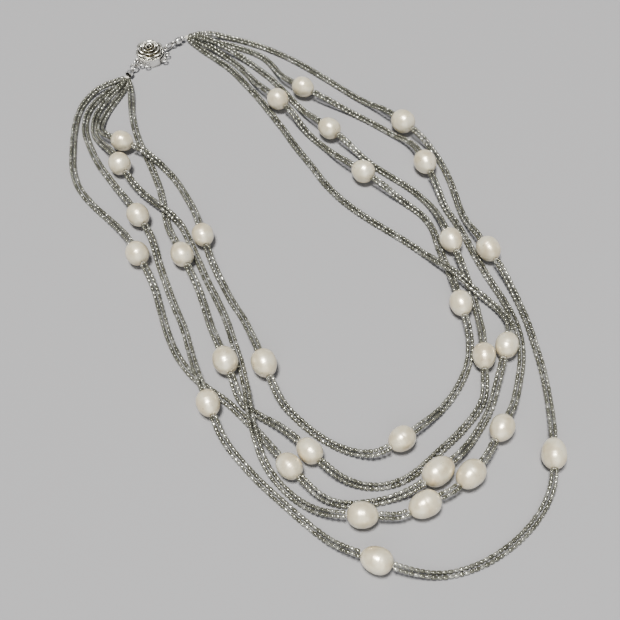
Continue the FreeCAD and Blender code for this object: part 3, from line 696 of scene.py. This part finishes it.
def make_pearl(number, diameter, length, centre, axis, finish):
    vertices, faces = pearl_mesh(diameter, length)
    side, up = across(axis[None])
    placed = centre + vertices[:, 0:1] * side + vertices[:, 1:2] * up + vertices[:, 2:3] * axis[None]
    pearl = make_object(f"nacre_pearl_{number:02d}", placed, faces, [finish])
    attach(pearl, f"pearl_{number:02d}")
    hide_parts(f"pearl_{number:02d}")
    return pearl


def make_strands():
    glass, thread, finish = seed_glass(), waxed_thread(), nacre()
    for name, strand in STRANDS.items():
        pearls = [make_pearl(*seat, finish) for seat in pearl_seats(strand)]
        for side, shift in (("inner", 1), ("outer", -1)):
            row, line = make_row(f"beads_{name}_{side}", strand, shift * ROW_SPACING / 2, glass, thread)
            finish_row(row, name)
    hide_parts("threads_left", "threads_right")


# Clasp


def petal(angle, base, flare, bottom, height, half_width, curl):
    # One rose petal as a curved sheet, in millimetres about the clasp's centre. U runs across it and v up it.
    columns, rows = 9, 7
    waist = 0.72
    cup = 0.22
    curl_start, lip_start = 0.65, 0.75
    points = []
    for row in range(rows):
        v = row / (rows - 1)
        for column in range(columns):
            u = 2 * column / (columns - 1) - 1
            turn = angle + u * half_width * (waist + 0.28 * math.sin(math.pi * (0.25 + 0.6 * v)))
            reach = base + flare * v**1.4 - cup * base * u * u * v + curl * max(0, v - curl_start) ** 2
            lift = bottom + height * math.sin(v * math.pi / 2 * 0.95) * (1 - cup * u * u)
            lift -= 0.9 * curl * max(0, v - lip_start) ** 2
            points.append((reach * math.cos(turn), reach * math.sin(turn), lift))
    faces = []
    for row in range(rows - 1):
        for column in range(columns - 1):
            first = row * columns + column
            faces.append((first, first + 1, first + columns + 1, first + columns))
    return points, faces


def rose_mesh():
    # Four rings of petals around a bud that is one petal rolled up.
    parts = []
    # How many petals, then each one's base, flare, bottom, height, half width and curl, then the ring's turn.
    tiers = [
        (6, 3.5, 1.2, 3.1, 1.5, 0.62, 2.6, 0.0),
        (5, 2.55, 1.1, 3.3, 2.05, 0.74, 2.4, 0.5),
        (4, 1.65, 0.8, 3.4, 2.5, 0.88, 1.9, 0.2),
        (3, 0.85, 0.5, 3.5, 2.7, 1.15, 1.2, 0.9),
    ]
    for count, base, flare, bottom, height, half_width, curl, offset in tiers:
        for index in range(count):
            angle = offset + 2 * math.pi * index / count
            parts.append(petal(angle, base, flare, bottom, height, half_width, curl))
    bud = petal(angle=0.3, base=0.35, flare=0.12, bottom=3.6, height=2.4, half_width=2.6, curl=0.2)
    parts.append(bud)
    return join(parts)


def ring_line(radius, height, count, wobble, waves, phase):
    # A circle that winds around itself, as one strand of a rope does.
    turns = np.linspace(0, 2 * math.pi, count)
    reach = radius + wobble * np.cos(waves * turns + phase)
    level = height + wobble * np.sin(waves * turns + phase)
    return np.stack([reach * np.cos(turns), reach * np.sin(turns), level], axis=-1)


def dome_mesh(radius, bottom, height, rounds=10, sides=40):
    top_radius = 0.02
    vertices = []
    for row in range(rounds):
        rise = row / (rounds - 1) * math.pi / 2
        for column in range(sides):
            turn = 2 * math.pi * column / sides
            reach = radius * math.cos(rise) + top_radius
            level = bottom + height * math.sin(rise)
            vertices.append((reach * math.cos(turn), reach * math.sin(turn), level))
    return vertices, band_faces(rounds, sides)


def scroll_mesh(angle):
    # A small wire scroll between the rope edge and the petals.
    middle, height, radius = 4.35, 3.55, 0.42
    turns = np.linspace(0, 1.6 * math.pi, 22)
    reach = middle + radius * np.cos(turns) * (1 - 0.25 * turns / math.pi)
    sway = 0.13 * np.sin(turns)
    level = height + 0.2 * np.sin(turns * 0.5)
    line = np.stack([reach * np.cos(angle + sway), reach * np.sin(angle + sway), level], axis=-1)
    return tube_mesh(line, radius=0.11, sides=6)


def make_rose():
    bright = silver(
        "rose_silver", dark=(0.25, 0.23, 0.175, 1), pale=(0.95, 0.93, 0.85, 1), tarnish=0.44
    )
    vertices, faces = rose_mesh()
    place = np.array([*CLASP_CENTRE, 0])
    petals = make_object("rose_petals", vertices + place, faces, [bright])
    sheet = petals.modifiers.new("thickness", "SOLIDIFY")
    sheet.thickness = PETAL_THICKNESS * MM
    finer = petals.modifiers.new("finer", "SUBSURF")
    finer.levels = 1
    finer.render_levels = 1
    trim = [dome_mesh(radius=4.55, bottom=3.1, height=1.5)]
    for phase in (0, math.pi):
        rope = ring_line(radius=4.78, height=3.3, count=260, wobble=0.17, waves=34, phase=phase)
        trim.append(tube_mesh(rope, radius=0.17, sides=6))
    for index in range(SCROLLS):
        trim.append(scroll_mesh(2 * math.pi * index / SCROLLS))
    vertices, faces = join(trim)
    edge = make_object("rose_trim", vertices + place, faces, [bright])
    for piece in (petals, edge):
        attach(piece, "left_half")
    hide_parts("rose_dome")


def dress_cad_nodes():
    # Silver on the CAD pieces that stay: the clasp, its tongue, the rings, the bead tips and the ball.
    plain = silver("worn_silver", dark=(0.22, 0.21, 0.18, 1), pale=(0.90, 0.89, 0.86, 1), tarnish=0.44)
    for name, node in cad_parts.items():
        if name.startswith(("pearl", "strand", "threads")):
            continue
        node.data.materials.clear()
        node.data.materials.append(plain)
        node.data.polygons.foreach_set("use_smooth", [True] * len(node.data.polygons))


make_camera()
make_stage()
make_light()
make_strands()
make_rose()
dress_cad_nodes()
